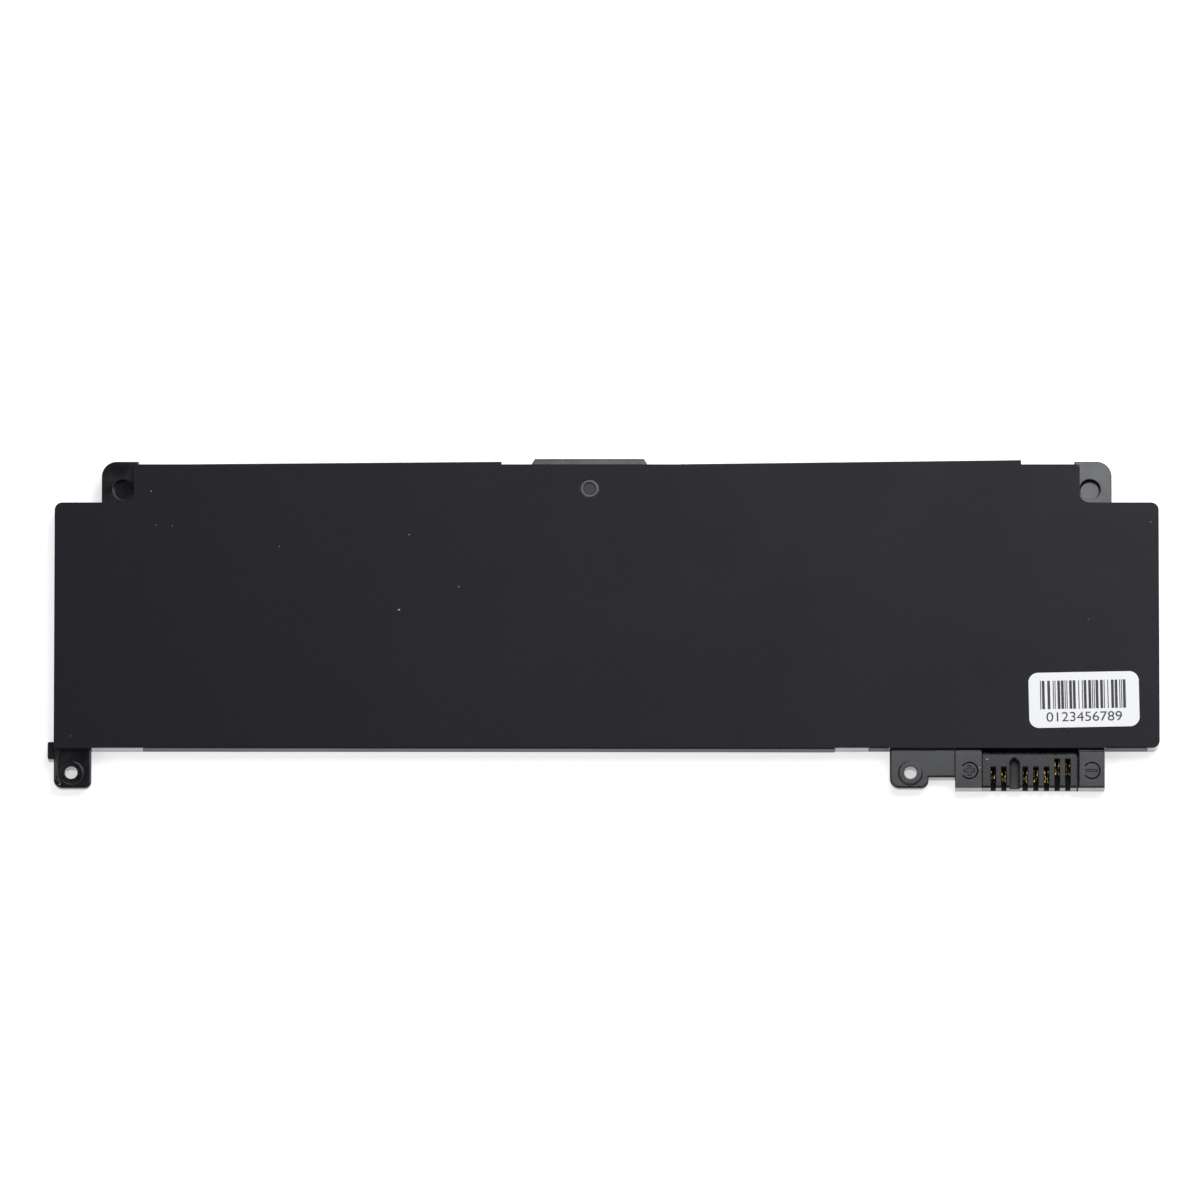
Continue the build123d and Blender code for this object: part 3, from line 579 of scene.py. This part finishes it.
housing_low, housing_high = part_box("connector_housing")
block_top = housing_high.z + BLOCK_ABOVE_HOUSING * MM
mark_y = housing_low.y + MARK_SETBACK * MM
half_arm = PLUS_ARM / 2
half_span = PLUS_SPAN / 2
quarter = ((half_span, -half_arm), (half_span, half_arm), (half_arm, half_arm))
plus_points = []
for turn in range(4):
    corner_turn = Matrix.Rotation(math.radians(90.0 * turn), 2)
    plus_points += [tuple(corner_turn @ Vector(point)) for point in quarter]
half_minus = (MINUS_SIZE[0] / 2, MINUS_SIZE[1] / 2)
minus_points = (
    (-half_minus[0], -half_minus[1]),
    (half_minus[0], -half_minus[1]),
    (half_minus[0], half_minus[1]),
    (-half_minus[0], half_minus[1]),
)
add_mark("plus_mark", plus_points, housing_low.x + PLUS_FROM_HOUSING * MM, mark_y, block_top)
add_mark("minus_mark", minus_points, housing_high.x + MINUS_FROM_HOUSING * MM, mark_y, block_top)

# Window floor
film_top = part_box("face_film")[1].z
window_floor = bmesh.new()
bmesh.ops.create_cone(
    window_floor,
    cap_ends=True,
    segments=WINDOW_FLOOR_SIDES,
    radius1=WINDOW_FLOOR_RADIUS * MM,
    radius2=WINDOW_FLOOR_RADIUS * MM,
    depth=WINDOW_FLOOR_THICKNESS * MM,
    matrix=Matrix.Translation(
        (WINDOW_PLACE[0] * MM, WINDOW_PLACE[1] * MM, film_top - WINDOW_FLOOR_DROP * MM)),
)
add_piece("window_floor", window_floor, eroded_abs)

# Dust on the film, and pale specks on the connector and the lug
dust = bmesh.new()
specks = [(*speck, film_top) for speck in FILM_DUST]
specks += [(*speck, housing_high.z) for speck in HOUSING_SPECKS]
specks += [(*speck, block_top) for speck in BLOCK_SPECKS]
specks += [(*speck, film_top - LUG_BELOW_FILM * MM) for speck in LUG_SPECKS]
for index, (x, y, length, height) in enumerate(specks):
    size = Matrix.Diagonal((length * MM, length * DUST_WIDTH * MM, length * DUST_FLATNESS * MM, 1.0))
    turn = Matrix.Rotation(index * DUST_TURN, 4, "Z")
    place = Matrix.Translation((x * MM, y * MM, height))
    bmesh.ops.create_icosphere(
        dust, subdivisions=DUST_SUBDIVISIONS, radius=0.5, matrix=place @ turn @ size)
add_piece("dust", dust, dust_and_pale_specks)


# Studio floor: pale paper that reads white to the camera, keeps the shadow and is clear from below
floor_paper, floor_tree = start_material("white background paper")
light_path = add_node(floor_tree, "LightPath")
seen = add_node(floor_tree, "Math", {
    "Value": light_path.outputs["Is Camera Ray"],
    "Value_001": FLOOR_LIFT,
}, operation="MULTIPLY")
bounced = add_node(floor_tree, "Math", {
    "Value": light_path.outputs["Is Glossy Ray"],
    "Value_001": light_path.outputs["Is Transmission Ray"],
}, operation="MAXIMUM")
lift = add_node(floor_tree, "Math", {
    "Value": bounced.outputs["Value"],
    "Value_001": FLOOR_MIRRORED,
    "Value_002": seen.outputs["Value"],
}, operation="MULTIPLY_ADD")
paper = add_node(floor_tree, "BsdfDiffuse", {"Color": linear(FLOOR_COLOUR)})
white = add_node(floor_tree, "Emission", {"Strength": lift.outputs["Value"]})
both = add_node(floor_tree, "AddShader", {
    "Shader": paper.outputs["BSDF"],
    "Shader_001": white.outputs["Emission"],
})
clear = add_node(floor_tree, "BsdfTransparent")
side = add_node(floor_tree, "NewGeometry")
facing = add_node(floor_tree, "MixShader", {
    "Fac": side.outputs["Backfacing"],
    "Shader": both.outputs["Shader"],
    "Shader_001": clear.outputs["BSDF"],
})
add_node(floor_tree, "OutputMaterial", {"Surface": facing.outputs["Shader"]})

floor_shape = bmesh.new()
bmesh.ops.create_grid(
    floor_shape,
    x_segments=1,
    y_segments=1,
    size=FLOOR_SIZE / 2 * MM,
    matrix=Matrix.Translation((0.0, 0.0, cad_box[0].z - FLOOR_DROP * MM)),
)
floor_mesh = bpy.data.meshes.new("floor")
floor_shape.to_mesh(floor_mesh)
floor_shape.free()
floor_mesh.materials.append(floor_paper)
floor = bpy.data.objects.new("floor", floor_mesh)
bpy.context.collection.objects.link(floor)

# Sky: bright round the horizon and dim overhead, so flat glossy faces stay dark
world = bpy.data.worlds.new("studio sky")
bpy.context.scene.world = world
world.use_nodes = True
sky_tree = world.node_tree
sky_tree.nodes.clear()
direction = add_node(sky_tree, "TexCoord")
split = add_node(sky_tree, "SeparateXYZ", {"Vector": direction.outputs["Generated"]})
level = add_node(sky_tree, "MapRange", {
    "Value": split.outputs["Z"],
    "To Min": SKY_LEVEL,
    "To Max": ZENITH_LEVEL,
})
sky = add_node(sky_tree, "Background", {"Strength": level.outputs["Result"]})
add_node(sky_tree, "OutputWorld", {"Surface": sky.outputs["Background"]})


def add_softbox(name, place, aim, size, radiance, colour):
    """Adds a soft panel light that faces a point, with the given brightness of its face."""
    lamp = bpy.data.lights.new(name, "AREA")
    lamp.color = linear(colour)[:3]
    lamp.shape = "RECTANGLE"
    lamp.size = size[0] * MM
    lamp.size_y = size[1] * MM
    lamp.energy = radiance * math.pi * lamp.size * lamp.size_y
    softbox = bpy.data.objects.new(name, lamp)
    softbox.location = Vector(place) * MM
    facing = Vector(aim) * MM - softbox.location
    softbox.rotation_euler = facing.to_track_quat("-Z", "Y").to_euler()
    bpy.context.collection.objects.link(softbox)
    return softbox


# The key hangs flat over the rear right, where the glossy faces mirror it
key_aim = (KEY_PLACE[0], KEY_PLACE[1], 0.0)
add_softbox("key_softbox", KEY_PLACE, key_aim, KEY_SIZE, KEY_RADIANCE, KEY_COLOUR)
add_softbox("fill_softbox", FILL_PLACE, (0.0, 0.0, 0.0), FILL_SIZE, FILL_RADIANCE, KEY_COLOUR)

# Camera
camera_data = bpy.data.cameras.new("camera")
camera_data.sensor_width = SENSOR_WIDTH
camera_data.lens = SENSOR_WIDTH * CAMERA_DISTANCE / VIEW_WIDTH
camera_data.clip_end = 2 * CAMERA_DISTANCE * MM
camera = bpy.data.objects.new("camera", camera_data)
elevation = math.radians(VIEW_ELEVATION)
back = Vector((0.0, -math.cos(elevation), math.sin(elevation)))
camera.location = (Vector(VIEW_MIDDLE) + back * CAMERA_DISTANCE) * MM
camera.rotation_euler = (-back).to_track_quat("-Z", "Y").to_euler()
bpy.context.collection.objects.link(camera)
bpy.context.scene.camera = camera

bpy.context.scene.view_settings.view_transform = "Standard"
